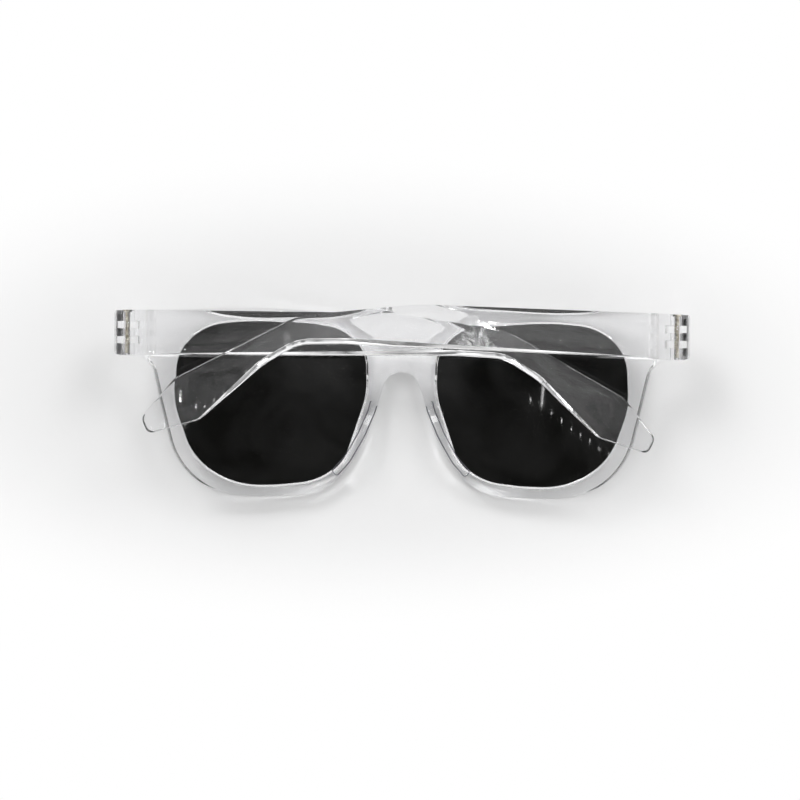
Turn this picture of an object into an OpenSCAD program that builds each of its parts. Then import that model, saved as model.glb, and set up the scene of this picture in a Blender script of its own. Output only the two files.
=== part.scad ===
// Polarized sunglasses with a clear moulded frame, lying on the front with both temples folded.
// X runs along the front towards the wearer's right, Y up the wearer's face, and Z from the
// front surface back towards the wearer. The origin is under the middle of the whole object.

/* [Lenses] */
// Width of one lens as seen inside its rim
lens_w = 49; // [44:0.5:54]
// Height of one lens as seen inside its rim
lens_h = 42.5; // [38:0.5:46]
// Narrowest distance between the two lenses
lens_gap = 18.2; // [16:0.2:22]
// Height of the lens centres above the origin
lens_y = -0.3; // [-1:0.1:1]
// Thickness of the outer clear layer of a lens
outer_layer_t = 0.5; // [0.3:0.05:0.7]
// Thickness of the polarizing film inside a lens
film_t = 0.1; // [0.05:0.05:0.2]
// Thickness of the inner clear layer of a lens
inner_layer_t = 0.5; // [0.3:0.05:0.7]

/* [Front] */
// Thickness of the front
front_t = 4; // [3.4:0.1:4.6]
// Radius of the front's curve from side to side
wrap_r = 150; // [120:5:220]
// Half the width of the middle part that is not curved
wrap_flat = 12; // [8:1:16]
// Width of the rim under a lens
rim_low = 3.2; // [2.4:0.2:4.4]
// Width of the rim on the temple side
rim_side = 4.8; // [3.6:0.2:6]
// Width of the rim on the nose side
rim_nose = 3.8; // [3:0.2:4.6]
// Width of the rim over a lens
rim_top = 3.5; // [2.6:0.1:4.6]
// Depth of the bridge's top edge below the brow
bridge_drop = 9.15; // [7:0.05:11]
// Height of the bridge from the arch under it to its top edge
bridge_h = 7.2; // [6:0.1:9]
// Half the width of the bridge's straight top edge
bridge_flat = 4.7; // [3:0.1:6]
// Radius of the bend from the bridge's top edge up to the brow
bridge_r = 4; // [2:0.5:8]
// Half the width of the arch under the bridge
arch_half = 3.6; // [3.4:0.1:4.4]
// Radius of the arch under the bridge
arch_r = 4.6; // [3:0.1:4.6]
// How deep a lens sits in the groove of its rim
groove_depth = 0.8; // [0.5:0.1:1.2]
// Depth of the lens behind the front surface
lens_inset = 1.4; // [1:0.1:1.8]
// Clearance of the lens in its groove
groove_clear = 0.05; // [0.03:0.01:0.1]

/* [Nose pads] */
// How far a moulded nose pad stands out behind the front
pad_h = 4.5; // [3:0.1:6]
// Width of a nose pad
pad_w = 2.4; // [1.6:0.1:3]
// Distance from the rim's edge to the nose pad
pad_edge = 0.3; // [0.1:0.1:0.8]

/* [Hinges] */
// Reach of the hinge axis beyond the rim
hinge_reach = 6.6; // [5:0.1:8]
// Depth of the hinge centre below the brow
hinge_drop = 7.15; // [6:0.05:8.5]
// Height of the end piece and of the temple at the hinge
hinge_h = 11.4; // [10:0.2:12.8]
// Depth of the hinge axis behind the front surface
hinge_depth = 6.04; // [5.6:0.02:8]
// Distance from the hinge axis to the outer face
hinge_out = 3.1; // [2.8:0.1:3.6]
// Radius of a hinge knuckle
knuckle_r = 1.5; // [1.3:0.1:1.7]
// Height of each of the three inner knuckles
knuckle_h = 1.9; // [1.6:0.1:2.2]
// Gap between neighbouring knuckles
knuckle_gap = 0.1; // [0.06:0.02:0.2]
// Distance from the hinge axis to the end faces that meet when a temple is open
butt = 2; // [1.8:0.1:2.4]
// Gap between those end faces when a temple is open
butt_gap = 0.1; // [0.05:0.05:0.3]
// Room around a knuckle in the part that it turns in
slot_room = 1; // [0.8:0.1:1.1]
// Radius of an end piece's outer corners
end_r = 1.2; // [0.6:0.1:2]
// Distance from the rim to the start of the end piece's lower edge
end_sweep = 1.6; // [1:0.1:2.4]
// Radius of the bend between the rim and the end piece's lower edge
end_sweep_r = 5; // [3:0.5:6]
// Width of the gusset inside each end piece
gusset = 3.5; // [2:0.5:5]

/* [Hinge screws] */
// Radius of a hinge screw
screw_r = 0.7; // [0.5:0.05:0.8]
// Radius of its head
head_r = 1.1; // [0.9:0.05:1.2]
// Thickness of its head
head_t = 0.5; // [0.4:0.05:0.8]
// Width of the slot in its head
head_slot = 0.25; // [0.2:0.05:0.35]
// Radial clearance of the screw in the front's knuckles
screw_clear = 0.05; // [0.03:0.01:0.1]
// Distance from the screw's tip to the lower face of the hinge
screw_short = 0.5; // [0.2:0.1:1]

/* [Temples] */
// Length of a temple from the hinge axis to its bend
straight_l = 84; // [78:1:92]
// Length from the bend to the tip, along the front
tail_l = 50; // [46:1:54]
// Drop of the tip below the temple's middle line
tail_drop = 30; // [26:1:34]
// Thickness of the blade behind the hinge block
blade_t = 2.8; // [2.4:0.1:2.9]
// Thickness of the blade at its tip
tip_t = 2.3; // [1.8:0.1:2.4]
// Length of the thick hinge block from the hinge axis
block_l = 5.4; // [4.6:0.1:7]
// Length of the slope from the hinge block to the blade
block_slope = 1.6; // [1:0.1:3]
// How far the folded left temple dips towards the lenses, in degrees
left_dip = 1.5; // [1:0.1:1.7]
// How far the folded right temple rises over the left one, in degrees
right_rise = 1.4; // [1.3:0.1:3]
// Upward sweep of the left blade along the front, in degrees
left_sweep = -0.1; // [-0.4:0.1:0.4]
// Upward sweep of the right blade along the front, in degrees
right_sweep = 1.7; // [1.2:0.1:1.9]

/* [Hidden] */
$fn = 48;

arc_steps = 8;          // straight pieces in each rounded corner of an outline
wrap_step = 0.8;        // angle between two stations along the curved front, in degrees
over = 0.5;             // how far a cutting solid runs past what it cuts
temple_side_y = 5;      // height over the lens centre at which the rim's temple side bends
temple_side_r = 30;     // radius of that bend

lens_x = lens_gap / 2 + lens_w / 2;
rim_edge_x = lens_x + lens_w / 2 + rim_side;
hinge_x = rim_edge_x + hinge_reach;
end_x = hinge_x + hinge_out;
end_in_x = hinge_x - knuckle_r;
brow_y = lens_y + lens_h / 2 + rim_top;
bridge_top = brow_y - bridge_drop;
bridge_arch = bridge_top - bridge_h;
hinge_y = brow_y - hinge_drop;
end_low = hinge_y - hinge_h / 2;
end_high = hinge_y + hinge_h / 2;
pin_z = wrap_z(hinge_x) + hinge_depth;
slot_r = knuckle_r + slot_room;
end_knuckle_h = (hinge_h - 3 * knuckle_h) / 2;
lens_t = outer_layer_t + film_t + inner_layer_t;
tall = 2 * hinge_y + hinge_h;                // reaches past the front above and below
above = pin_z + butt + over;                 // reaches past the front's rearmost face

// Lens outline in a box of half width 1 and half height 1: x to the temple side, y up, radius
lens_shape = [[-0.98, 0.93, 0.5], [0.19, 1, 2.6], [0.98, 0.91, 0.58], [1.015, 0, 1.2],
    [0.73, -1.01, 0.8], [-0.07, -1, 2], [-0.7, -0.92, 0.62], [-1, 0.12, 1.2]];

// Tail of a temple from the bend: share of its length, share of its drop, radius as a share of
// its length
tail_top = [[-0.36, 0.187, 1.2], [0.24, 0.05, 0.5], [0.834, -0.5, 0.06], [1, -0.845, 0.05]];
tail_low = [[0.96, -0.985, 0.04], [0.708, -0.852, 0.08], [0.4, -0.37, 0.5], [0.23, -0.19, 0.24],
    [0, -0.17, 0.8]];

// Brow over a lens in shares of half the lens width: distance from the lens middle, drop, radius
brow_shape = [[-0.65, 0.037, 0.5], [0.1, 0, 4.9]];

// Rim outline in the lens outline's box widened by the rim, with the radius as a share of half
// the lens width: temple side, then nose side
rim_shape = [[0.78, -0.965, 0.8], [0.08, -0.995, 2.4]];
rim_nose_shape = [[-0.53, -0.975, 0.7], [-0.85, -0.43, 1.2]];

// Nose flank of the rim in the same box
flank = [[-0.99, 0.05], [-0.965, -0.08], [-0.92, -0.2], [-0.875, -0.33], [-0.82, -0.45],
    [-0.73, -0.63], [-0.6, -0.8]];

function unit(v) = v / norm(v);

// Points of the arc of radius r that rounds the corner b between a and c
function fillet(a, b, c, r) =
    let (u = unit(a - b), v = unit(c - b), half = acos(u * v) / 2,
        centre = b + unit(u + v) * r / sin(half),
        p = b + u * r / tan(half) - centre, q = b + v * r / tan(half) - centre,
        from = atan2(p.y, p.x), turn = atan2(q.y, q.x) - from,
        sweep = turn > 180 ? turn - 360 : turn < -180 ? turn + 360 : turn)
    [for (i = [0:arc_steps]) centre + r * [cos(from + sweep * i / arc_steps),
        sin(from + sweep * i / arc_steps)]];

function xy(p) = [p.x, p.y];

// Closed outline with rounded corners, each [x, y, radius]
function rounded(c) = let (n = len(c))
    [for (i = [0:n - 1]) each fillet(xy(c[(i + n - 1) % n]), xy(c[i]), xy(c[(i + 1) % n]), c[i].z)];

// The same along an open chain, whose two ends stay sharp
function rounded_chain(c) = let (n = len(c)) [xy(c[0]),
    for (i = [1:n - 2]) each fillet(xy(c[i - 1]), xy(c[i]), xy(c[i + 1]), c[i].z), xy(c[n - 1])];

// Lens outline, grown evenly by a width
function lens_outline(grow) = [for (p = rounded(lens_shape))
    [lens_x + p.x * (lens_w / 2 + grow), lens_y + p.y * (lens_h / 2 + grow)]];

// A point of the rim at a share of the lens box, at a width outside the lens
function rim_point(f, side, low) =
    [lens_x + f.x * (lens_w / 2 + side), lens_y + f.y * (lens_h / 2 + low)];

function rim_corners(shape, side) =
    [for (c = shape) [each rim_point(c, side, rim_low), c.z * lens_w / 2]];

// Right half of the front's outline, from the bridge's top round to the arch under it
half_outline = rounded_chain([
    [0, bridge_top, 0],
    [bridge_flat, bridge_top, bridge_r],
    for (c = brow_shape) [lens_x + c.x * lens_w / 2, brow_y - c.y * lens_w / 2, c.z * lens_w / 2],
    [end_x, end_high, end_r],
    [end_x, end_low, end_r],
    [rim_edge_x + end_sweep, end_low, end_sweep_r],
    [rim_edge_x, lens_y + temple_side_y, temple_side_r],
    each rim_corners(rim_shape, rim_side),
    each rim_corners(rim_nose_shape, rim_nose),
    [arch_half, bridge_arch, arch_r],
    [0, bridge_arch, 0]]);

// Height of the front surface at a distance from the middle, where it curves
function wrap_z(x) = wrap_r - sqrt(pow(wrap_r, 2) - pow(x - wrap_flat, 2));

// Where the front curves: points from the middle out to the side, at a depth behind the surface
wrap_turn = asin((end_x + over - wrap_flat) / (wrap_r - above)) + wrap_step;
function wrap_side(depth) = [for (a = [0:wrap_step:wrap_turn])
    [wrap_flat + (wrap_r - depth) * sin(a), wrap_r - (wrap_r - depth) * cos(a)]];
function flipped(points) = [for (i = [len(points) - 1:-1:0]) [-points[i].x, points[i].y]];
function back(points) = [for (i = [len(points) - 1:-1:0]) points[i]];
function wrap_line(depth) = concat(flipped(wrap_side(depth)), wrap_side(depth));

// Extrudes an outline drawn in X and Z evenly to both sides of the front along Y
module along_y(points, low, high)
    translate([0, high, 0]) rotate([90, 0, 0]) linear_extrude(high - low) polygon(points);

// The curved sheet between two depths behind the front surface
module sheet(near, far)
    along_y(concat(wrap_line(near), back(wrap_line(far))), -tall, tall);

// Everything behind the front surface
module behind_front() {
    side = wrap_side(0);
    last = side[len(side) - 1];
    along_y(concat(wrap_line(0), [[last.x, above + last.y], [-last.x, above + last.y]]), -tall, tall);
}

module prism(points) linear_extrude(above) polygon(points);

module both_sides() {
    children();
    mirror([1, 0, 0]) children();
}

// Height of the lower face of knuckle n over the hinge's lower face, counted from 0 to 4
function knuckle_low(n) = n == 0 ? 0 : end_knuckle_h + (n - 1) * knuckle_h;
function knuckle_tall(n) = n == 0 || n == 4 ? end_knuckle_h : knuckle_h;

// A cylinder on the hinge axis, which is the Y axis here, over knuckle n and a margin
module knuckle_round(n, r, margin)
    translate([0, knuckle_low(n) + knuckle_tall(n) + margin - hinge_h / 2, 0])
        rotate([90, 0, 0]) cylinder(h = knuckle_tall(n) + 2 * margin, r = r);

// A box over knuckle n and a margin, between two places across and along the hinge axis
module knuckle_box(n, low, high, margin)
    translate([low.x, knuckle_low(n) - margin - hinge_h / 2, low.y])
        cube([high.x - low.x, knuckle_tall(n) + 2 * margin, high.y - low.y]);

module hinge_bore(r)
    translate([0, hinge_h / 2 + over, 0]) rotate([90, 0, 0])
        cylinder(h = hinge_h + 2 * over, r = r);

// Room cut in the right end piece for the temple's knuckles, about the hinge axis
module end_piece_slots() {
    for (n = [0, 2, 4]) {
        margin = n == 2 ? knuckle_gap / 2 : knuckle_gap;
        shift = n == 0 ? -knuckle_gap / 2 : n == 4 ? knuckle_gap / 2 : 0;
        translate([0, shift, 0]) {
            knuckle_round(n, slot_r, margin);
            knuckle_box(n, [-slot_r, 0], [slot_r, butt + over], margin);
        }
    }
    // The inner top corner of the front's own knuckles is rounded about the hinge axis
    for (n = [1, 3]) difference() {
        knuckle_box(n, [-slot_r, 0], [0, butt + over], 0);
        knuckle_round(n, knuckle_r, over);
    }
}

// Right end piece: the front turns back here to carry the hinge
module end_piece() {
    plate = front_t + wrap_z(end_in_x);
    difference() {
        intersection() {
            prism(concat(half_outline, flipped(half_outline)));
            behind_front();
            along_y([[end_in_x - gusset, 0], [end_in_x - gusset, plate - over],
                [end_in_x, min(plate + gusset, pin_z - slot_r)], [end_in_x, pin_z + butt - butt_gap],
                [end_x + over, pin_z + butt - butt_gap], [end_x + over, 0]], end_low, end_high);
        }
        translate([hinge_x, hinge_y, pin_z]) {
            end_piece_slots();
            hinge_bore(screw_r + screw_clear);
        }
    }
}

// Right nose pad: a crest moulded on the nose flank of the rim
module nose_pad() {
    outer = [for (f = flank) rim_point(f, rim_nose - pad_edge, rim_low - pad_edge)];
    inner = [for (f = flank) rim_point(f, rim_nose - pad_edge - pad_w, rim_low - pad_edge - pad_w)];
    first = outer[0];
    last = outer[len(outer) - 1];
    chord = norm(last - first);
    crest_r = (pow(chord / 2, 2) + pow(pad_h, 2)) / (2 * pad_h);
    middle = (first + last) / 2;
    intersection() {
        translate([0, 0, front_t - over]) linear_extrude(pad_h + 2 * over)
            polygon(concat(outer, back(inner)));
        translate([middle.x + pad_w, middle.y, front_t + pad_h - crest_r]) sphere(crest_r, $fn = 96);
    }
}

module front_frame() color([0.86, 0.86, 0.86]) difference() {
    union() {
        intersection() {
            prism(concat(half_outline, flipped(half_outline)));
            sheet(0, front_t);
        }
        both_sides() end_piece();
        both_sides() nose_pad();
    }
    both_sides() {
        translate([0, 0, -over]) linear_extrude(above + over) polygon(lens_outline(0));
        intersection() {
            prism(lens_outline(groove_depth + groove_clear));
            sheet(lens_inset - groove_clear, lens_inset + lens_t + groove_clear);
        }
    }
}

// One layer of the right lens between two depths behind its front face
module lens_layer(near, far) intersection() {
    prism(lens_outline(groove_depth));
    sheet(lens_inset + near, lens_inset + far);
}

module outer_layer() color([0.28, 0.28, 0.27]) lens_layer(0, outer_layer_t);
module film() color([0.05, 0.05, 0.05]) lens_layer(outer_layer_t, outer_layer_t + film_t);
module inner_layer() color([0.2, 0.2, 0.19]) lens_layer(outer_layer_t + film_t, lens_t);

// Blade outline along X from the hinge axis, Y up, with the bend and the tail
blade_outline = rounded_chain([
    [0, hinge_h / 2, 0],
    for (c = concat(tail_top, tail_low))
        [straight_l + c.x * tail_l, c.y * tail_drop, c.z * tail_l],
    [0, -hinge_h / 2, 0]]);

// Side outline of a temple in X and Z: the hinge block, the slope and the tapering blade
temple_side = [[butt, hinge_out], [straight_l + tail_l + over, hinge_out - (blade_t - tip_t) / 2],
    [straight_l + tail_l + over, hinge_out - (blade_t + tip_t) / 2],
    [block_l + block_slope, hinge_out - blade_t], [block_l, -knuckle_r], [butt, -knuckle_r]];

// A temple that points along X from its hinge axis on the Y axis, outer face towards Z
module temple(sweep) difference() {
    union() {
        intersection() {
            rotate([0, 0, sweep]) translate([0, 0, -knuckle_r - over])
                linear_extrude(knuckle_r + hinge_out + 2 * over) polygon(blade_outline);
            along_y(temple_side, -tall, tall);
        }
        for (n = [0, 2, 4]) {
            margin = n == 2 ? -knuckle_gap / 2 : 0;
            knuckle_round(n, knuckle_r, margin);
            knuckle_box(n, [0, -knuckle_r], [butt + over, knuckle_r], margin);
        }
    }
    for (n = [1, 3])
        knuckle_box(n, [0, -knuckle_r - over], [butt + slot_room, hinge_out + over], knuckle_gap / 2);
    hinge_bore(screw_r);
    translate([0, hinge_h / 2 + over, 0]) rotate([90, 0, 0]) cylinder(h = head_t + over, r = head_r);
}

// Screw on the Y axis with its head at the top, flush with the temple's upper face
module hinge_screw() color([0.75, 0.72, 0.62]) difference() {
    union() {
        translate([0, hinge_h / 2, 0]) rotate([90, 0, 0]) cylinder(h = hinge_h - screw_short, r = screw_r);
        translate([0, hinge_h / 2, 0]) rotate([90, 0, 0]) cylinder(h = head_t, r = head_r);
    }
    translate([-head_r - over, hinge_h / 2 - head_t / 2, -head_slot / 2])
        cube([2 * (head_r + over), head_t, head_slot]);
}

module at_left_hinge() translate([-hinge_x, hinge_y, pin_z]) rotate([0, left_dip, 0]) children();
module at_right_hinge() translate([hinge_x, hinge_y, pin_z]) mirror([1, 0, 0])
    rotate([0, -right_rise, 0]) children();

module left_lens_outer_layer() mirror([1, 0, 0]) outer_layer();
module left_polarizing_film() mirror([1, 0, 0]) film();
module left_lens_inner_layer() mirror([1, 0, 0]) inner_layer();
module right_lens_outer_layer() outer_layer();
module right_polarizing_film() film();
module right_lens_inner_layer() inner_layer();
module left_temple() color([0.88, 0.88, 0.88]) at_left_hinge() temple(left_sweep);
module right_temple() color([0.88, 0.88, 0.88]) at_right_hinge() temple(right_sweep);
module left_hinge_screw() at_left_hinge() hinge_screw();
module right_hinge_screw() at_right_hinge() hinge_screw();

front_frame();
left_lens_outer_layer();
left_polarizing_film();
left_lens_inner_layer();
right_lens_outer_layer();
right_polarizing_film();
right_lens_inner_layer();
left_temple();
left_hinge_screw();
right_temple();
right_hinge_screw();
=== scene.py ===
"""Polarized sunglasses with a clear moulded frame, lying folded on their front.

Sizes are in millimetres until a piece is finished, and X, Y and Z run as in the CAD frame.
"""

import math

import bmesh
import bpy
from mathutils import Matrix, Vector


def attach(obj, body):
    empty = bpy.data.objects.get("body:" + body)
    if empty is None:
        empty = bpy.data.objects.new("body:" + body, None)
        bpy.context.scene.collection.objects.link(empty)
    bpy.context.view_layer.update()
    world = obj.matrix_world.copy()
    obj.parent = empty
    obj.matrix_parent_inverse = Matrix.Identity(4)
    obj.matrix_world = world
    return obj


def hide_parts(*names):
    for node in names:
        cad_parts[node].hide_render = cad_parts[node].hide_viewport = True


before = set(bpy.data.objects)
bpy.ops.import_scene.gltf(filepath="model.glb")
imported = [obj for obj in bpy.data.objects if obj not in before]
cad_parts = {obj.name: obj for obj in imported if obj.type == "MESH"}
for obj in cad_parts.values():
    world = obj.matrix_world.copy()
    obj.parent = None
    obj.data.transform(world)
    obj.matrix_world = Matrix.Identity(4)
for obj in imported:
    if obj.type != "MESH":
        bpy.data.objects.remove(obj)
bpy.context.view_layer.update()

# The front: rims, bridge, end pieces and the front's hinge knuckles, moulded in one piece of
# clear plastic. It is drawn as an outline with two lens openings, given rounded edges and a
# lens groove, curved from side to side, and then cut for the hinges.

LENS_WIDTH, LENS_HEIGHT = 49.0, 42.5
LENS_X, LENS_Y = 33.6, -0.3
FRONT_THICKNESS = 4.0
CURVE_RADIUS, FLAT_HALF = 150.0, 12.0
RIM_SIDE, RIM_NOSE, RIM_LOW = 4.8, 3.8, 3.2
END_X, END_LOW, END_HIGH = 72.6, 11.6, 23.0
BRIDGE_TOP, BRIDGE_ARCH = 15.3, 8.1
LENS_DEPTH, LENS_THICKNESS = 1.4, 1.1
GROOVE, GROOVE_ROOM = 0.5, 0.03
HINGE_Z, BUTT, BUTT_GAP = 17.4985, 2.0, 0.1
END_TOP = HINGE_Z + BUTT - BUTT_GAP
# Distances from the middle between which the rear face steps up, and between which the end
# piece's wall rises; then the height of that step, the slope after it, and the wall foot's height
# over the plain rear face at the step.
STEP_START, STEP_END, WALL_START, WALL_END = 64.2, 64.6, 68.0, 68.12
STEP_RISE, STEP_SLOPE, WALL_FOOT = 0.55, 0.2, 1.23
CURVE_LINES = [x * 1.5 for x in range(8, 49)]
NOSE, NOSE_REACH = Vector((0, 2)), 14

LENS_CORNERS = [(-0.98, 0.93, 0.5), (0.19, 1, 2.6), (0.98, 0.91, 0.58), (1.015, 0, 1.2),
                (0.73, -1.01, 0.8), (-0.07, -1, 2), (-0.7, -0.92, 0.62), (-1, 0.12, 1.2)]


def round_corners(corners, closed, fine):
    """Points along the outline through (x, y, radius) corners, each corner turned as an arc."""
    points = []
    for i, (x, y, radius) in enumerate(corners):
        here = Vector((x, y))
        if not closed and i in (0, len(corners) - 1):
            points.append(here)
            continue
        back = (Vector(corners[i - 1][:2]) - here).normalized()
        on = (Vector(corners[(i + 1) % len(corners)][:2]) - here).normalized()
        half = back.angle(on) / 2
        centre = here + (back + on).normalized() * radius / math.sin(half)
        first = here + back * radius / math.tan(half) - centre
        last = here + on * radius / math.tan(half) - centre
        start = math.atan2(first.y, first.x)
        turn = (math.atan2(last.y, last.x) - start + math.pi) % math.tau - math.pi
        count = max(4, math.ceil(abs(turn) * radius / fine), math.ceil(abs(turn) / 0.1))
        points += [centre + radius * Vector((math.cos(start + turn * k / count),
                                             math.sin(start + turn * k / count)))
                   for k in range(count + 1)]
    return points


def lens_outline(grow=0.0):
    """The right lens's outline, clockwise so that the rim lies on its left."""
    return [Vector((LENS_X + p.x * (LENS_WIDTH / 2 + grow), LENS_Y + p.y * (LENS_HEIGHT / 2 + grow)))
            for p in round_corners(LENS_CORNERS, True, 0.02)]


def mirrored(points):
    """The other side's outline, walked the other way so that it still turns the same way."""
    return [Vector((-p.x, p.y)) for p in reversed(points)]


def rim_corner(fx, fy, side, radius):
    return (LENS_X + fx * (LENS_WIDTH / 2 + side), LENS_Y + fy * (LENS_HEIGHT / 2 + RIM_LOW), radius)


def front_outline():
    """The front's outer edge, anticlockwise: the right half and its mirror image."""
    half = round_corners([
        (0, BRIDGE_TOP, 0), (4.7, BRIDGE_TOP, 4), (17.675, 23.54, 12.2), (36.05, 24.45, 120),
        (END_X, END_HIGH, 1.2), (END_X, END_LOW, 1.2), (64.5, END_LOW, 5), (62.9, 4.7, 30),
        rim_corner(0.78, -0.965, RIM_SIDE, 19.6), rim_corner(0.08, -0.995, RIM_SIDE, 58.8),
        rim_corner(-0.53, -0.975, RIM_NOSE, 17.1), rim_corner(-0.85, -0.43, RIM_NOSE, 29.4),
        (3.6, BRIDGE_ARCH, 4.6), (0, BRIDGE_ARCH, 0)], False, 0.4)
    right = list(reversed(half))
    return right + [Vector((-p.x, p.y)) for p in half[1:-1]]


def edge_section(low, high):
    """Quarter-round edges at the bottom and the top of a wall, as (inset, height) steps."""
    thick = FRONT_THICKNESS
    steps = [math.radians(a) for a in (0, 30, 60, 90)]
    return ([(low * (1 - math.sin(a)), low * (1 - math.cos(a))) for a in steps]
            + [(high * (1 - math.sin(a)), thick - high * (1 - math.cos(a))) for a in reversed(steps)])


def groove_section():
    """The wall of a lens opening, with a V groove half way up for the lens's sharp edge."""
    wall = edge_section(0.3, 0.12)
    low, high = LENS_DEPTH - GROOVE_ROOM, LENS_DEPTH + LENS_THICKNESS + GROOVE_ROOM
    groove = [(0, low), (GROOVE, (low + high) / 2), (0, high)]
    return wall[:4] + groove + wall[4:]


def moulding(loops, sections):
    """A closed solid whose walls climb from each loop through its section, with flat caps.

    The material lies on the left of each loop, and a section is a list of (inset, height)
    steps, or a function that gives that list from the place and the direction inwards."""
    solid = bmesh.new()
    caps = ([], [])
    for loop, section in zip(loops, sections):
        count = len(loop)
        rings = []
        for i, here in enumerate(loop):
            a = (here - loop[i - 1]).normalized()
            b = (loop[(i + 1) % count] - here).normalized()
            inward = Vector((-a.y - b.y, a.x + b.x)) / (1 + a.dot(b))
            steps = section(here, inward) if callable(section) else section
            rings.append([solid.verts.new((here.x + inward.x * inset, here.y + inward.y * inset, height))
                          for inset, height in steps])
        for i in range(count):
            this, after = rings[i], rings[(i + 1) % count]
            for k in range(len(this) - 1):
                solid.faces.new((this[k], after[k], after[k + 1], this[k + 1]))
        for cap, k in zip(caps, (0, -1)):
            cap += [solid.edges.get((rings[i][k], rings[(i + 1) % count][k])) for i in range(count)]
    for cap in caps:
        bmesh.ops.triangle_fill(solid, use_beauty=True, use_dissolve=False, edges=cap)
    return solid


def slice_at(solid, places, direction):
    """New edge lines across the solid, so that it can be bent there."""
    for place in places:
        bmesh.ops.bisect_plane(solid, geom=solid.verts[:] + solid.edges[:] + solid.faces[:],
                               dist=1e-5, plane_co=direction * place, plane_no=direction)


def finished(solid, name, merge=1e-4):
    """The solid as an object, with points nearer than the merge distance made one."""
    bmesh.ops.remove_doubles(solid, verts=solid.verts[:], dist=merge)
    bmesh.ops.triangulate(solid, faces=[f for f in solid.faces if len(f.verts) > 4])
    bmesh.ops.recalc_face_normals(solid, faces=solid.faces[:])
    mesh = bpy.data.meshes.new(name)
    solid.to_mesh(mesh)
    solid.free()
    piece = bpy.data.objects.new(name, mesh)
    bpy.context.scene.collection.objects.link(piece)
    return piece


def behind(x, depth):
    """Height of the surface that lies a depth behind the front surface."""
    reach = max(0.0, abs(x) - FLAT_HALF)
    return CURVE_RADIUS - math.sqrt((CURVE_RADIUS - depth) ** 2 - reach ** 2)


def rear_surface(x):
    """Height of the rear surface at x, which steps up to the end piece beside the hinge."""
    sheet, x = behind(x, FRONT_THICKNESS), abs(x)
    at_step = behind(STEP_END, FRONT_THICKNESS)
    if x >= WALL_END:
        return END_TOP
    if x <= STEP_START:
        return sheet
    if x <= STEP_END:
        return sheet + (at_step + STEP_RISE - sheet) * (x - STEP_START) / (STEP_END - STEP_START)
    if x <= WALL_START:
        return max(sheet, at_step + STEP_RISE + (x - STEP_END) * STEP_SLOPE)
    foot = max(behind(WALL_START, FRONT_THICKNESS), at_step + WALL_FOOT)
    return foot + (END_TOP - foot) * (x - WALL_START) / (WALL_END - WALL_START)


def bend_front(solid):
    """Bends a flat moulding of the front's thickness to the front's two curved faces."""
    for v in solid.verts:
        x, height = v.co.x, v.co.z
        if height <= FRONT_THICKNESS / 2:
            v.co.z = behind(x, height)
        else:
            v.co.z = rear_surface(x) - (behind(x, FRONT_THICKNESS) - behind(x, height))


def outer_edge(here, inward):
    """The rim's outer edge: a small round at the front and a fuller one towards the nose."""
    nose = max(0.0, 1 - (here - NOSE).length / NOSE_REACH)
    return edge_section(0.25, 0.45 + 1.1 * nose)


solid = moulding([front_outline(), lens_outline(), mirrored(lens_outline())],
                 [outer_edge, groove_section(), groove_section()])
steps = [STEP_START, STEP_END, WALL_START, WALL_END]
slice_at(solid, [side * x for side in (-1, 1) for x in CURVE_LINES + steps], Vector((1, 0, 0)))
bend_front(solid)
front = finished(solid, "clear_front", merge=0.02)


def cut(piece, tool, operation="DIFFERENCE"):
    """Cuts the tool out of the piece, or joins it on, and takes the tool away."""
    change = piece.modifiers.new("cut", "BOOLEAN")
    change.operation, change.solver, change.object = operation, "MANIFOLD", tool
    mesh = bpy.data.meshes.new_from_object(piece.evaluated_get(bpy.context.evaluated_depsgraph_get()))
    piece.modifiers.remove(change)
    old = piece.data
    piece.data = mesh
    bpy.data.meshes.remove(old)
    bpy.data.meshes.remove(tool.data)


# Nose pads: two crests on the nose flanks of the rims, moulded with the front. Each is a strip
# that follows its flank, with rounded ends, and rises to a low arch behind the rim.

PAD_HEIGHT, PAD_WIDTH, PAD_EDGE = 4.5, 2.4, 0.3
PAD_END_ROUND, PAD_BEND = 0.9, 10
# The pad's wall before it is bent, the height that parts its foot from its top, and how far the
# foot and the lowest part of the top are sunk into the rim.
PAD_WALL, PAD_SPLIT, PAD_FOOT, PAD_LOWEST = 1.75, 0.9, 1.2, 0.9
PAD_SECTION = [(0, 0), (0.08, 1.42), (0.36, PAD_WALL)]
PAD_RING = 0.33
FLANK = [(-0.99, 0.05), (-0.965, -0.08), (-0.92, -0.2), (-0.875, -0.33), (-0.82, -0.45),
         (-0.73, -0.63), (-0.6, -0.8)]


def flank_line(width):
    return [Vector((LENS_X + fx * (LENS_WIDTH / 2 + RIM_NOSE - width),
                    LENS_Y + fy * (LENS_HEIGHT / 2 + RIM_LOW - width))) for fx, fy in FLANK]


outer_line, inner_line = flank_line(PAD_EDGE), flank_line(PAD_EDGE + PAD_WIDTH)
chord = (outer_line[-1] - outer_line[0]).length
crest_radius = ((chord / 2) ** 2 + PAD_HEIGHT ** 2) / (2 * PAD_HEIGHT)
crest = (outer_line[0] + outer_line[-1]) / 2 + Vector((PAD_WIDTH, 0))


def pad_top(x, y):
    """Height of the pad's arched top over the rear face, on a ball under its middle."""
    out = (x - crest.x) ** 2 + (y - crest.y) ** 2
    return PAD_HEIGHT - crest_radius + math.sqrt(max(crest_radius ** 2 - out, 1.0))


rounds = [PAD_END_ROUND] + [PAD_BEND] * (len(FLANK) - 2) + [PAD_END_ROUND]
right_strip = round_corners([(*place, radius) for line in (inner_line, outer_line[::-1])
                             for place, radius in zip(line, rounds)], True, 0.3)


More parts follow.
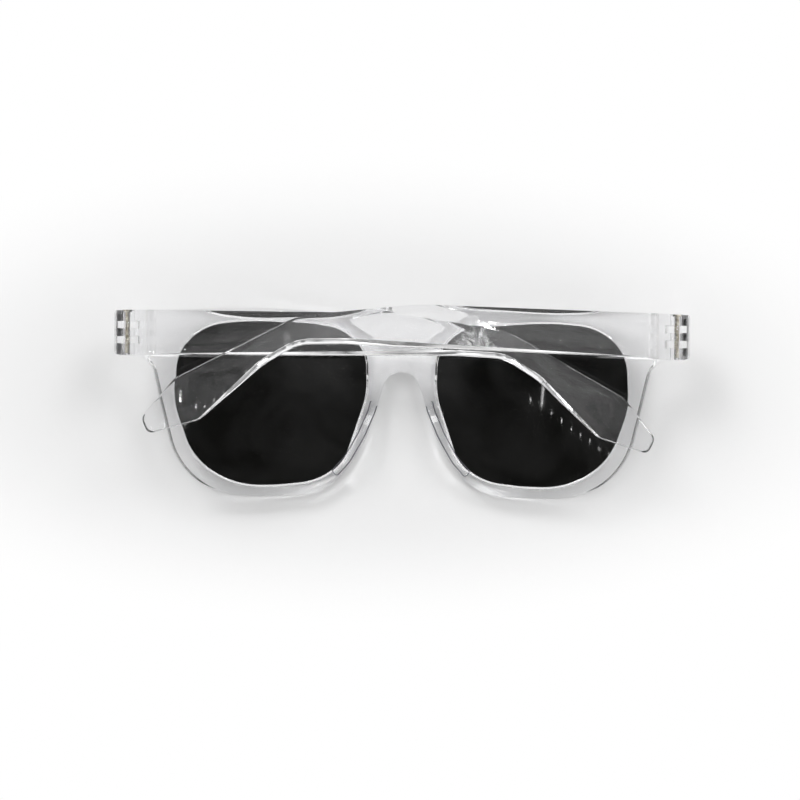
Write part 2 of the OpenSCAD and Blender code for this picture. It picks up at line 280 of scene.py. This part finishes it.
def from_pad_edge(place):
    """Distance of a place on the right pad from the pad's outline."""
    gaps = []
    for a, b in zip(right_strip, right_strip[1:] + right_strip[:1]):
        share = max(0.0, min(1.0, (place - a).dot(b - a) / max((b - a).length_squared, 1e-9)))
        gaps.append((place - a - (b - a) * share).length)
    return min(gaps)


for side in (1, -1):
    strip = list(right_strip) if side > 0 else mirrored(right_strip)
    if sum(a.cross(b) for a, b in zip(strip, strip[1:] + strip[:1])) < 0:
        strip.reverse()
    solid = moulding([strip], [PAD_SECTION])
    slice_at(solid, [y * 0.8 - 20 for y in range(27)], Vector((0, 1, 0)))
    for v in solid.verts:
        if v.co.z < PAD_SPLIT:
            v.co.z = FRONT_THICKNESS - PAD_FOOT
        else:
            top = FRONT_THICKNESS + pad_top(side * v.co.x, v.co.y)
            v.co.z = max(top - (PAD_WALL - v.co.z), FRONT_THICKNESS - PAD_LOWEST)
    cut(front, finished(solid, "pad"), "UNION")


# Hinge seats in the front's end pieces: three slots for the side arm's knuckles, a bore for the
# screw, and a rounded inner corner on the two knuckles left standing.

HINGE_X, HINGE_Y = 69.5, 17.3
HINGE_HEIGHT, KNUCKLE_HEIGHT, KNUCKLE_GAP = 11.4, 1.9, 0.1
KNUCKLE_RADIUS, SLOT_RADIUS, BORE_RADIUS = 1.5, 2.5, 0.75
# The shoulder that carries each knuckle on the middle's side, in (x, z) from the hinge's axis.
SHOULDER = [(0.75, -1), (0.75, 1.29), (2.1, 1.29), (2.5, 0.9), (2.5, -3.2), (1.2, -3.2), (1.2, -1)]
SHOULDER_INSET = 0.02
PAST_HINGE = 7.0


def knuckle_span(n):
    """Lowest and highest point of knuckle n over the hinge's middle."""
    end = (HINGE_HEIGHT - 3 * KNUCKLE_HEIGHT) / 2
    low = -HINGE_HEIGHT / 2 + (0 if n == 0 else end + (n - 1) * KNUCKLE_HEIGHT)
    return low, low + (end if n in (0, 4) else KNUCKLE_HEIGHT)


def bar(profile, low, high):
    """A straight bar along Y with the (x, z) profile given from the hinge's axis."""
    solid = bmesh.new()
    ends = [[solid.verts.new((x, y, z)) for x, z in profile] for y in (low, high)]
    solid.faces.new(ends[0])
    solid.faces.new(reversed(ends[1]))
    for i in range(len(profile)):
        k = (i + 1) % len(profile)
        solid.faces.new((ends[0][k], ends[0][i], ends[1][i], ends[1][k]))
    return solid


def arc(radius, start, end, count=24):
    return [(radius * math.cos(math.radians(start + (end - start) * k / count)),
             radius * math.sin(math.radians(start + (end - start) * k / count)))
            for k in range(count + 1)]


def at_hinge(solid, side, dip=0.0):
    """Moves a solid drawn about the hinge axis, with X towards the middle, to its hinge."""
    place = Matrix.Translation((side * HINGE_X, HINGE_Y, HINGE_Z))
    place @= Matrix.Diagonal((-side, 1, 1, 1)) @ Matrix.Rotation(math.radians(dip), 4, "Y")
    solid.transform(place)
    return solid


for side in (1, -1):
    for n in range(5):
        low, high = knuckle_span(n)
        if n % 2 == 0:
            low -= 1 if n == 0 else KNUCKLE_GAP / 2
            high += 1 if n == 4 else KNUCKLE_GAP / 2
            profile = arc(SLOT_RADIUS, 180, 360) + [(SLOT_RADIUS, 4), (-SLOT_RADIUS, 4)]
        else:
            profile = arc(KNUCKLE_RADIUS, 0, 90, 12) + [(0, 4), (4, 4), (4, 0)]
        cut(front, finished(at_hinge(bar(profile, low, high), side), "slot"))
        if n % 2:
            shoulder = bar(SHOULDER, low + SHOULDER_INSET, high - SHOULDER_INSET)
            cut(front, finished(at_hinge(shoulder, side), "shoulder"), "UNION")
    bore = bar(arc(BORE_RADIUS, 0, 345, 23), -PAST_HINGE, PAST_HINGE)
    cut(front, finished(at_hinge(bore, side), "bore"))


def glossy_surface(piece, surfaces, dull_and_painted_shade=lambda face: 0.0):
    """Gives moulded faces their true normals, keeps the cut edges sharp, and marks each face's
    dullness and painted shade: marked faces are made rougher and painted dark."""
    mesh = piece.data
    # Painted shade: this mark also darkens the face's colour in the clear plastic, painting dark lines
    # where the clear walls would show total reflection.
    dull = mesh.attributes.new("dull_and_painted_shade", "FLOAT", "FACE")
    dull.data.foreach_set("value", [float(dull_and_painted_shade(face)) for face in mesh.polygons])
    mesh.polygons.foreach_set("use_smooth", [True] * len(mesh.polygons))
    mesh.set_sharp_from_angle(angle=math.radians(32))
    normals = [Vector(c.vector) for c in mesh.corner_normals]
    for face in mesh.polygons:
        for corner in face.loop_indices:
            true = surfaces(mesh.vertices[mesh.loops[corner].vertex_index].co)
            if true is not None and abs(true.dot(face.normal)) > 0.93:
                normals[corner] = true if true.dot(face.normal) > 0 else -true
    mesh.normals_split_custom_set(normals)


def to_metres(piece):
    piece.data.transform(Matrix.Scale(0.001, 4))


def curve_normal(co, depths=(0.0, FRONT_THICKNESS)):
    """The normal of the curved surface at one of these depths, where a point lies on one."""
    for depth in depths:
        if abs(co.z - behind(co.x, depth)) < 0.004:
            lean = math.copysign(max(0.0, abs(co.x) - FLAT_HALF), co.x) / (CURVE_RADIUS - depth)
            return Vector((-lean, 0, math.sqrt(1 - lean * lean)))
    return None


def dull_and_painted_shade_on_front(face):
    """Dullness and painted dark shade on the nose pads' narrow edges, a little of their tops, and the
    ends of the hinge slots.
    """
    x, y, z = abs(face.center.x), face.center.y, face.center.z
    if x < 20 and y < 2:
        if z < behind(x, FRONT_THICKNESS) + 0.02 or face.normal.z < 0.3:
            return 0.0
        return 1.0 if from_pad_edge(Vector((x, y))) < PAD_RING else 0.06
    on_wall = 70 < x < 72.3 and z > 14.7 and abs(face.normal.x) > 0.7 and END_LOW < y < END_HIGH
    return on_wall * (0.75 if face.center.x < 0 else 0.45)


glossy_surface(front, curve_normal, dull_and_painted_shade_on_front)
to_metres(front)


def feed(tree, node, *inputs):
    """Gives each named input of the node its value, or the wire that leads to it."""
    for label, source in inputs:
        if hasattr(source, "is_output"):
            tree.links.new(source, node.inputs[label])
        else:
            node.inputs[label].default_value = source
    return node


def add_node(tree, kind, *inputs, **settings):
    """A new node in the tree, with its settings made before its inputs."""
    node = tree.nodes.new(kind)
    for label, value in settings.items():
        setattr(node, label, value)
    return feed(tree, node, *inputs)


def new_material(name):
    material = bpy.data.materials.new(name)
    material.use_nodes = True
    return material, material.node_tree


def clear_plastic(name, waviness, haze, seed):
    """Clear polished plastic: see-through, very slightly wavy and hazy, with faint wiping marks,
    and painted shade: marked faces are painted near-black as well as made rougher.
    """
    material, tree = new_material(name)
    place = add_node(tree, "ShaderNodeTexCoord").outputs["Object"]
    waves = add_node(tree, "ShaderNodeTexNoise", ("Vector", place), ("W", seed), ("Scale", 90),
                     ("Detail", 1), noise_dimensions="4D")
    bump = add_node(tree, "ShaderNodeBump", ("Height", waves.outputs["Fac"]), ("Strength", waviness),
                    ("Distance", 0.0004))
    marks = add_node(tree, "ShaderNodeTexNoise", ("Vector", place), ("Scale", 700), ("Detail", 4))
    spread = add_node(tree, "ShaderNodeMapRange", ("Value", marks.outputs["Fac"]), ("From Min", 0.45),
                      ("From Max", 0.75), ("To Min", 0.0), ("To Max", 0.06))
    dull_and_painted_shade = add_node(tree, "ShaderNodeAttribute", attribute_name="dull_and_painted_shade").outputs["Fac"]
    grain = add_node(tree, "ShaderNodeMath", (0, dull_and_painted_shade), (1, 0.4), (2, spread.outputs["Result"]),
                     operation="MULTIPLY_ADD")
    # Painted shade: marked faces get a near-black colour, standing in for the dark edges that total
    # reflection gives clear plastic.
    painted_shade_tone = add_node(tree, "ShaderNodeMix", ("Factor", dull_and_painted_shade), ("A", (0.99, 0.99, 0.995, 1)),
                    ("B", (0.03, 0.028, 0.04, 1)), data_type="RGBA")
    feed(tree, tree.nodes["Principled BSDF"], ("Base Color", painted_shade_tone.outputs["Result"]),
         ("Roughness", grain.outputs["Value"]), ("Normal", bump.outputs["Normal"]),
         ("Transmission Weight", 1 - haze), ("IOR", 1.49))
    return material


front.data.materials.clear()
front.data.materials.append(clear_plastic("front_plastic", 0.12, 0.01, 1.0))
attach(front, "front")
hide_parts("front_frame")

# Lenses: each is a sandwich of a smoked outer layer, a polarizing film and a smoked inner layer,
# ground to a sharp edge that sits in the rim's groove. They follow the front's curve.

LAYERS = [("lens_outer_layer", 0.0, 0.5), ("polarizing_film", 0.5, 0.6),
          ("lens_inner_layer", 0.6, 1.1)]


def smoked_plastic(name, colour, roughness):
    """Polished smoked plastic with a faint unevenness from rolling and wiping."""
    material, tree = new_material(name)
    place = add_node(tree, "ShaderNodeTexCoord").outputs["Object"]
    smear = add_node(tree, "ShaderNodeTexNoise", ("Vector", place), ("Scale", 45), ("Detail", 3),
                     ("Distortion", 0.6))
    spread = add_node(tree, "ShaderNodeMapRange", ("Value", smear.outputs["Fac"]), ("From Min", 0.3),
                      ("From Max", 0.7), ("To Min", roughness * 0.4), ("To Max", roughness * 1.6))
    bump = add_node(tree, "ShaderNodeBump", ("Height", smear.outputs["Fac"]), ("Strength", 0.05),
                    ("Distance", 0.0003))
    feed(tree, tree.nodes["Principled BSDF"], ("Base Color", (*colour, 1)),
         ("Roughness", spread.outputs["Result"]), ("Normal", bump.outputs["Normal"]),
         ("IOR", 1.5), ("Specular IOR Level", 0.22))
    return material


smoke = smoked_plastic("smoked_lens", (0.005, 0.005, 0.0046), 0.02)
film = smoked_plastic("lens_film", (0.004, 0.004, 0.0045), 0.3)

layer_depths = [LENS_DEPTH + height for layer, low, high in LAYERS for height in (low, high)]
EDGE_GAP = 0.04

for side, word in ((1, "right"), (-1, "left")):
    for layer, low, high in LAYERS:
        outline = list(reversed(lens_outline()))
        if side < 0:
            outline = mirrored(outline)
        steps = []
        for height in (low, high):
            grow = (GROOVE - EDGE_GAP) * (1 - abs(height - LENS_THICKNESS / 2) / (LENS_THICKNESS / 2))
            steps.append((-grow, LENS_DEPTH + height))
        solid = moulding([outline], [steps])
        slice_at(solid, [side * x for x in CURVE_LINES], Vector((1, 0, 0)))
        for v in solid.verts:
            v.co.z = behind(v.co.x, v.co.z)
        lens = finished(solid, f"{word}_{layer}_dressed", merge=0.02)
        glossy_surface(lens, lambda co: curve_normal(co, layer_depths))
        to_metres(lens)
        lens.data.materials.append(film if layer == "polarizing_film" else smoke)
        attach(lens, "front")
        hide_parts(f"{word}_{layer}")

# Side arms: one clear plastic blade each, moulded with three hinge knuckles. The outer face has
# a slope along its upper edge and the inner face one along its lower edge.

BLADE, TIP, OUT = 2.8, 2.3, 3.1
BLOCK, SLOPE = 4.6, 2.8
STRAIGHT, TAIL, DROP = 84.0, 50.0, 30.0
TAIL_TOP = [(-0.36, 0.187, 1.2), (0.24, 0.05, 0.5), (0.834, -0.5, 0.06), (1, -0.845, 0.05)]
TAIL_LOW = [(0.96, -0.985, 0.04), (0.708, -0.852, 0.08), (0.4, -0.37, 0.5), (0.23, -0.19, 0.24),
            (0, -0.17, 0.8)]
# Widths of the outer face's soft round and of the inner face's slope, what is left of each where
# it has faded out, and how far the round turns, in degrees.
PILLOW, SLOPED_EDGE, OUTER_EDGE, INNER_EDGE, EDGE_TURN = 2.2, 1.55, 0.35, 0.3, 47
PIN_BORE, HEAD_BORE, HEAD_DEPTH = 0.71, 1.12, 0.52


def arm_section(here, inward):
    """Edge steps of a side arm. Upper edges fall away in a wide soft round on the outer face,
    and lower edges have a flat slope on the inner face, which ends before the block and the tip."""
    straight = min(1.0, max(0.12, (STRAIGHT + 14 - abs(here.x)) / 16))
    up = straight * min(1.0, max(0.0, -inward.y) * 1.3) ** 2
    down = min(1.0, max(0.0, inward.y) * 1.3) ** 2
    down *= min(1.0, max(0.1, (STRAIGHT + 0.74 * TAIL - abs(here.x)) / 6))
    down *= min(1.0, max(0.0, (abs(here.x) - BLOCK - 1) / 4))
    slope = INNER_EDGE + (SLOPED_EDGE - INNER_EDGE) * down
    wide = OUTER_EDGE + (PILLOW - OUTER_EDGE) * up
    ball = wide / math.sin(math.radians(EDGE_TURN))
    rounds = [math.radians(a) for a in (EDGE_TURN, 40, 32, 24, 16, 8, 0)]
    return [(slope, 0), (0, slope * 1.2)] + [
        (wide - ball * math.sin(a), BLADE - ball * (1 - math.cos(a))) for a in rounds]


def arm_inner(u):
    """Height of a side arm's inner face over the hinge axis, from the block to the tip."""
    thin = OUT - BLADE
    if u < BLOCK:
        return -KNUCKLE_RADIUS - 0.005
    if u < BLOCK + SLOPE:
        return -KNUCKLE_RADIUS + (thin + KNUCKLE_RADIUS) * (u - BLOCK) / SLOPE
    return thin + (BLADE - TIP) / 2 * (u - BLOCK - SLOPE) / (STRAIGHT + TAIL - BLOCK - SLOPE)


def dull_and_painted_shade_on_arm(face, side):
    """Dullness and painted dark shade on the end walls of the arm's two notches, and on a little of the
    ramp behind its block.
    """
    u = HINGE_X - side * face.center.x
    if abs(face.normal.x) > 0.8 and 2.7 < u < 3.3:
        return 0.9 if side < 0 else 0.6
    return 0.02 if abs(face.normal.x) > 0.3 and BLOCK < u < BLOCK + SLOPE else 0.0


for side, word, sweep, dip in ((-1, "left", -0.1, 1.5), (1, "right", 1.7, -1.4)):
    corners = [(-1, HINGE_HEIGHT / 2, 0)]
    corners += [(STRAIGHT + x * TAIL, y * DROP, r * TAIL) for x, y, r in TAIL_TOP + TAIL_LOW]
    corners += [(-1, -HINGE_HEIGHT / 2, 0)]
    outline = [Matrix.Rotation(math.radians(sweep), 2) @ p for p in round_corners(corners, False, 0.4)]
    outline.reverse()
    solid = moulding([outline], [arm_section])
    slice_at(solid, [BLOCK, BLOCK + SLOPE] + [10.0 * k for k in range(1, 14)], Vector((1, 0, 0)))
    got = bmesh.ops.bisect_plane(solid, geom=solid.verts[:] + solid.edges[:] + solid.faces[:], dist=1e-5,
                                 plane_co=(BUTT, 0, 0), plane_no=(1, 0, 0), clear_inner=True)
    rim = [e for e in got["geom_cut"] if isinstance(e, bmesh.types.BMEdge)]
    bmesh.ops.triangle_fill(solid, use_beauty=True, use_dissolve=False, edges=rim)
    for v in solid.verts:
        u = v.co.x
        low = arm_inner(u)
        high = OUT - (BLADE - TIP) / 2 * max(0.0, u) / (STRAIGHT + TAIL)
        share = min(1.0, (high - low) / BLADE)
        v.co.z = low + v.co.z * share if v.co.z < BLADE / 2 else high - (BLADE - v.co.z) * share
    arm = finished(at_hinge(solid, side, dip), f"{word}_arm_dressed")
    for n in (0, 2, 4):
        low, high = knuckle_span(n)
        trim = 0.02 if n != 2 else KNUCKLE_GAP / 2
        profile = arc(KNUCKLE_RADIUS, 90, 270) + [(2.3, -KNUCKLE_RADIUS), (2.3, KNUCKLE_RADIUS)]
        knuckle = bar(profile, low + trim, high - trim)
        cut(arm, finished(at_hinge(knuckle, side, dip), "knuckle"), "UNION")
    for n in (1, 3):
        low, high = knuckle_span(n)
        notch = bar([(-4, -4), (3, -4), (3, 5), (-4, 5)], low - KNUCKLE_GAP / 2, high + KNUCKLE_GAP / 2)
        cut(arm, finished(at_hinge(notch, side, dip), "notch"))
    bore = bar(arc(PIN_BORE, 0, 345, 23), -PAST_HINGE, PAST_HINGE)
    cut(arm, finished(at_hinge(bore, side, dip), "bore"))
    head_seat = bar(arc(HEAD_BORE, 0, 345, 23), HINGE_HEIGHT / 2 - HEAD_DEPTH, PAST_HINGE)
    cut(arm, finished(at_hinge(head_seat, side, dip), "head_seat"))
    glossy_surface(arm, lambda co: None, lambda face: dull_and_painted_shade_on_arm(face, side))
    to_metres(arm)
    arm.data.materials.clear()
    arm.data.materials.append(clear_plastic(f"{word}_arm_plastic", 0.15, 0.02, 3.0 + side))
    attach(arm, f"{word}_arm")
    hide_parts(f"{word}_temple")

# Hinge screws: turned steel, one through the five knuckles of each hinge. The shank carries a
# fine thread below its smooth part, and the flat head has a straight slot.

SCREW_SHORT = 0.5
# The core's share of the shank's radius under the thread, and the driver slot's length in metres.
CORE_SHARE, SLOT_LENGTH = 0.86, 0.004

screw_steel, tree = new_material("screw_steel")
place = add_node(tree, "ShaderNodeTexCoord").outputs["Object"]
patches = add_node(tree, "ShaderNodeTexNoise", ("Vector", place), ("Scale", 1500), ("Detail", 4))
tint = add_node(tree, "ShaderNodeValToRGB", ("Fac", patches.outputs["Fac"]))
for stop, position, colour in zip(tint.color_ramp.elements, (0.38, 0.58),
                                  ((0.42, 0.36, 0.25, 1), (0.97, 0.94, 0.84, 1))):
    stop.position, stop.color = position, colour
dull = add_node(tree, "ShaderNodeMapRange", ("Value", patches.outputs["Fac"]), ("To Min", 0.42),
                ("To Max", 0.18))
feed(tree, tree.nodes["Principled BSDF"], ("Base Color", tint.outputs["Color"]),
     ("Roughness", dull.outputs["Result"]), ("Metallic", 1))

screw_tree = bpy.data.node_groups.new("slotted_screw", "GeometryNodeTree")
for label, value in (("Shank radius", 0.0007), ("Length", 0.0109), ("Thread length", 0.0092),
                     ("Thread turns", 26.0), ("Thread depth", 0.00013), ("Head radius", 0.0011),
                     ("Head height", 0.0005), ("Slot width", 0.00032)):
    socket = screw_tree.interface.new_socket(label, in_out="INPUT", socket_type="NodeSocketFloat")
    socket.default_value = value
screw_tree.interface.new_socket("Middle", in_out="INPUT", socket_type="NodeSocketVector")
screw_tree.interface.new_socket("Screw", in_out="OUTPUT", socket_type="NodeSocketGeometry")


def screw_node(kind, *inputs, **settings):
    return add_node(screw_tree, kind, *inputs, **settings)


given = screw_node("NodeGroupInput").outputs
under_head = screw_node("ShaderNodeMath", (0, given["Length"]), (1, given["Head height"]),
                        operation="SUBTRACT")
shank = screw_node("GeometryNodeMeshCylinder", ("Vertices", 32), ("Radius", given["Shank radius"]),
                   ("Depth", under_head.outputs[0]))
half_up = screw_node("ShaderNodeMath", (0, under_head.outputs[0]), (1, 0.5), operation="MULTIPLY")
shank_up = screw_node("ShaderNodeCombineXYZ", ("Z", half_up.outputs[0]))
shank = screw_node("GeometryNodeTransform", ("Geometry", shank.outputs["Mesh"]),
                   ("Translation", shank_up.outputs[0]))
root = screw_node("ShaderNodeMath", (0, given["Shank radius"]), (1, given["Thread depth"]),
                  operation="SUBTRACT")
helix = screw_node("GeometryNodeCurveSpiral", ("Resolution", 20), ("Rotations", given["Thread turns"]),
                   ("Start Radius", root.outputs[0]), ("End Radius", root.outputs[0]),
                   ("Height", given["Thread length"]))
ridge = screw_node("GeometryNodeCurvePrimitiveCircle", ("Resolution", 4),
                   ("Radius", given["Thread depth"]))
thread = screw_node("GeometryNodeCurveToMesh", ("Curve", helix.outputs["Curve"]),
                    ("Profile Curve", ridge.outputs["Curve"]), ("Fill Caps", True))
thread_up = screw_node("ShaderNodeCombineXYZ", ("Z", given["Thread depth"]))
thread = screw_node("GeometryNodeTransform", ("Geometry", thread.outputs["Mesh"]),
                    ("Translation", thread_up.outputs[0]))
core = screw_node("GeometryNodeTransform", ("Geometry", shank.outputs["Geometry"]),
                  ("Scale", (CORE_SHARE, CORE_SHARE, 1)))
head = screw_node("GeometryNodeMeshCylinder", ("Vertices", 48), ("Radius", given["Head radius"]),
                  ("Depth", given["Head height"]))
slot_size = screw_node("ShaderNodeCombineXYZ", ("X", given["Slot width"]), ("Y", SLOT_LENGTH),
                       ("Z", given["Head height"]))
slot = screw_node("GeometryNodeMeshCube", ("Size", slot_size.outputs[0]))
middle_up = screw_node("ShaderNodeMath", (0, given["Head height"]), (1, 0.5), operation="MULTIPLY")
slot_up = screw_node("ShaderNodeCombineXYZ", ("Z", middle_up.outputs[0]))
slot = screw_node("GeometryNodeTransform", ("Geometry", slot.outputs["Mesh"]),
                  ("Translation", slot_up.outputs[0]))
head = screw_node("GeometryNodeMeshBoolean", ("Mesh 1", head.outputs["Mesh"]),
                  ("Mesh 2", slot.outputs["Geometry"]), operation="DIFFERENCE")
head_height = screw_node("ShaderNodeMath", (0, given["Length"]), (1, middle_up.outputs[0]),
                         operation="SUBTRACT")
head_up = screw_node("ShaderNodeCombineXYZ", ("Z", head_height.outputs[0]))
head = screw_node("GeometryNodeTransform", ("Geometry", head.outputs["Mesh"]),
                  ("Translation", head_up.outputs[0]))
whole = screw_node("GeometryNodeJoinGeometry")
for part in (core, thread, head):
    screw_tree.links.new(part.outputs["Geometry"], whole.inputs[0])
placed = screw_node("GeometryNodeTransform", ("Geometry", whole.outputs[0]),
                    ("Translation", given["Middle"]), ("Rotation", (-math.pi / 2, 0, 0)))
real = screw_node("GeometryNodeRealizeInstances", ("Geometry", placed.outputs["Geometry"]))
dressed = screw_node("GeometryNodeSetMaterial", ("Geometry", real.outputs["Geometry"]),
                     ("Material", screw_steel))
screw_node("NodeGroupOutput", ("Screw", dressed.outputs["Geometry"]))

for side, word in ((-1, "left"), (1, "right")):
    blank = bpy.data.objects.new("screw_blank", bpy.data.meshes.new("screw_blank"))
    bpy.context.scene.collection.objects.link(blank)
    turned = blank.modifiers.new("turned", "NODES")
    turned.node_group = screw_tree
    middle = next(i for i in screw_tree.interface.items_tree if i.name == "Middle").identifier
    low_end = HINGE_Y - HINGE_HEIGHT / 2 + SCREW_SHORT
    turned[middle] = (side * HINGE_X / 1000, low_end / 1000, HINGE_Z / 1000)
    mesh = bpy.data.meshes.new_from_object(blank.evaluated_get(bpy.context.evaluated_depsgraph_get()))
    bpy.data.objects.remove(blank)
    mesh.name = f"{word}_screw"
    mesh.polygons.foreach_set("use_smooth", [True] * len(mesh.polygons))
    mesh.set_sharp_from_angle(angle=math.radians(40))
    screw = bpy.data.objects.new(f"{word}_screw", mesh)
    bpy.context.scene.collection.objects.link(screw)
    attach(screw, f"{word}_arm")
    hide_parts(f"{word}_hinge_screw")

# Table, light and camera: a white table that fades to plain white away from the sunglasses, a
# soft bright room with a darker ceiling, and the camera straight above.

floor_mesh = bpy.data.meshes.new("table")
floor_mesh.from_pydata([(-3, -3, -0.0001), (3, -3, -0.0001), (3, 3, -0.0001), (-3, 3, -0.0001)], [],
                       [(0, 1, 2, 3)])
floor = bpy.data.objects.new("table", floor_mesh)
bpy.context.scene.collection.objects.link(floor)
paper, tree = new_material("white_table")
tree.nodes.clear()
place = add_node(tree, "ShaderNodeTexCoord").outputs["Object"]
stretch = add_node(tree, "ShaderNodeMapping", ("Vector", place), ("Location", (0.08, -0.07, 0)),
                   ("Scale", (1 / 0.14, 1 / 0.058, 0)))
reach = add_node(tree, "ShaderNodeVectorMath", (0, stretch.outputs["Vector"]), operation="LENGTH")
fade = add_node(tree, "ShaderNodeMapRange", ("Value", reach.outputs["Value"]), ("From Min", 0.5),
                ("From Max", 1.08), interpolation_type="SMOOTHSTEP")
matt = add_node(tree, "ShaderNodeBsdfDiffuse", ("Color", (0.84, 0.84, 0.84, 1)))
glow = add_node(tree, "ShaderNodeEmission")
mix = add_node(tree, "ShaderNodeMixShader", ("Fac", fade.outputs["Result"]),
               (1, matt.outputs["BSDF"]), (2, glow.outputs["Emission"]))
add_node(tree, "ShaderNodeOutputMaterial", ("Surface", mix.outputs["Shader"]))
floor_mesh.materials.append(paper)

world = bpy.data.worlds.new("studio")
bpy.context.scene.world = world
world.use_nodes = True
tree = world.node_tree
sky = tree.nodes["Background"]
plain_white = add_node(tree, "ShaderNodeBackground", ("Color", (1, 1, 1, 1)))
seen_by = add_node(tree, "ShaderNodeLightPath")
either = add_node(tree, "ShaderNodeMixShader", ("Fac", seen_by.outputs["Is Camera Ray"]),
                  (1, sky.outputs["Background"]), (2, plain_white.outputs["Background"]))
feed(tree, tree.nodes["World Output"], ("Surface", either.outputs["Shader"]))
where = add_node(tree, "ShaderNodeTexCoord").outputs["Generated"]
split = add_node(tree, "ShaderNodeSeparateXYZ", ("Vector", where))
zenith = add_node(tree, "ShaderNodeValToRGB", ("Fac", split.outputs["Z"]))
for stop, position, level in zip(zenith.color_ramp.elements, (0.68, 0.93), (1, 0.28)):
    stop.position, stop.color = position, (level, level, level, 1)
drape = add_node(tree, "ShaderNodeMapping", ("Vector", where), ("Scale", (1.3, 8, 1)))
folds = add_node(tree, "ShaderNodeTexNoise", ("Vector", drape.outputs["Vector"]), ("Scale", 3.5),
                 ("Detail", 2), ("Distortion", 1.2))
fold_depth = add_node(tree, "ShaderNodeMapRange", ("Value", folds.outputs["Fac"]), ("From Min", 0.35),
                      ("From Max", 0.65), ("To Min", 0.1), ("To Max", 2.0))
# A bright panel high up on one side, bounded by four soft edges: along which axis, where each
# starts and ends, and the level before and after it.
panel = 1.0
for axis, start, end, low, high in (("X", -0.07, 0.06, 0, 0.8), ("X", 0.13, 0.24, 1, 0),
                                    ("Y", -0.01, 0.02, 0, 1), ("Z", 0.88, 0.92, 0, 1)):
    edge = add_node(tree, "ShaderNodeMapRange", ("Value", split.outputs[axis]), ("From Min", start),
                    ("From Max", end), ("To Min", low), ("To Max", high),
                    interpolation_type="SMOOTHSTEP")
    panel = add_node(tree, "ShaderNodeMath", (0, panel), (1, edge.outputs["Result"]),
                     operation="MULTIPLY").outputs["Value"]
ceiling = add_node(tree, "ShaderNodeMath", (0, zenith.outputs["Color"]),
                   (1, fold_depth.outputs["Result"]), (2, panel), operation="MULTIPLY_ADD")
feed(tree, sky, ("Color", ceiling.outputs["Value"]), ("Strength", 0.82))

for name, place, size, power in (("left_softbox", (-0.55, 0.7, 0.75), 0.4, 4.7),
                                 ("right_softbox", (0.55, 0.6, 0.75), 0.4, 2.6)):
    lamp = bpy.data.lights.new(name, "AREA")
    lamp.shape, lamp.size, lamp.energy = "SQUARE", size, power
    holder = bpy.data.objects.new(name, lamp)
    holder.location = place
    holder.rotation_euler = Vector(place).to_track_quat("Z", "Y").to_euler()
    bpy.context.scene.collection.objects.link(holder)

# Far small lamps, seen only as glints, in rows: the first and the last place, the count, each
# lamp's width and depth, and the turn of the first and of the last, in degrees.
GLINT_HEIGHT, GLINT_POWER = 0.6, 220
GLINTS = [((0.122, 0.027), (0.2475, -0.016), 8, 0.0022, 0.0009, 0, 0),
          ((-0.098, 0.002), (-0.230, -0.034), 9, 0.0014, 0.0014, 0, 0),
          ((0.073, 0.0535), (0.074, 0.0470), 5, 0.0070, 0.0007, -4, -8),
          ((0.086, 0.0555), (0.083, 0.0485), 5, 0.0080, 0.0007, 4, 10),
          ((0.076, 0.0450), (0.081, 0.0330), 8, 0.0100, 0.0008, -4, -24),
          ((-0.119, 0.0160), (-0.116, -0.0006), 8, 0.0034, 0.0009, 8, 14)]
for first, last, count, wide, deep, turn, last_turn in GLINTS:
    for k in range(count):
        share = k / (count - 1)
        lamp = bpy.data.lights.new("small_lamp", "AREA")
        lamp.shape, lamp.size, lamp.size_y = "ELLIPSE", wide, deep
        lamp.energy = GLINT_POWER * wide * deep
        holder = bpy.data.objects.new("small_lamp", lamp)
        holder.location = (first[0] + (last[0] - first[0]) * share,
                           first[1] + (last[1] - first[1]) * share, GLINT_HEIGHT)
        holder.rotation_euler = (0, 0, math.radians(turn + (last_turn - turn) * share))
        holder.visible_camera = False
        bpy.context.scene.collection.objects.link(holder)

camera = bpy.data.cameras.new("overhead")
camera.sensor_width = 36
camera.lens = 74.66
camera.clip_start = 0.01
overhead = bpy.data.objects.new("overhead", camera)
overhead.location = (-0.0004, 0.0008, 0.4375)
overhead.rotation_euler = (0, 0, math.radians(0.5))
bpy.context.scene.collection.objects.link(overhead)
bpy.context.scene.camera = overhead
bpy.context.scene.view_settings.view_transform = "Standard"
paths = bpy.context.scene.cycles
paths.blur_glossy = 0
paths.max_bounces = paths.transmission_bounces = 24
